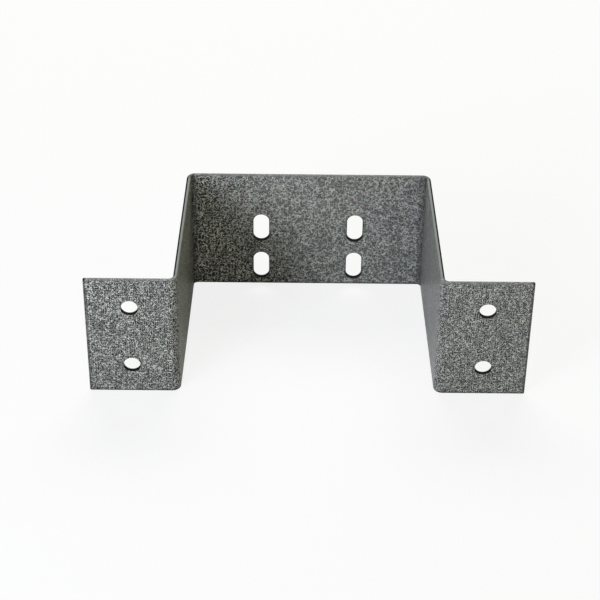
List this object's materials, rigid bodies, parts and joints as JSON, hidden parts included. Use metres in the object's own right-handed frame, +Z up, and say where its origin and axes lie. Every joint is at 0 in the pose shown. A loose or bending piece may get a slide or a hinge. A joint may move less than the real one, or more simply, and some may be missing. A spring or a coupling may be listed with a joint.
{
  "type": "hat bracket",
  "caption": "Folded sheet-metal hat bracket: bolt-down flanges with round holes, two legs and a raised centre plate with upright slots.",
  "frame": {"origin": "centre of the four flange holes, on the plane of the flanges' mounting faces", "axes": "+X along the bracket's length, +Y from the mounting faces back to the centre plate, +Z up across the strip's width"},
  "size_m": [0.2, 0.083, 0.0644],
  "materials": {
    "coated_steel": "dark grey hammered powder coat"
  },
  "bodies": {
    "root": {"bracket": "coated_steel"}
  },
  "joints": []
}
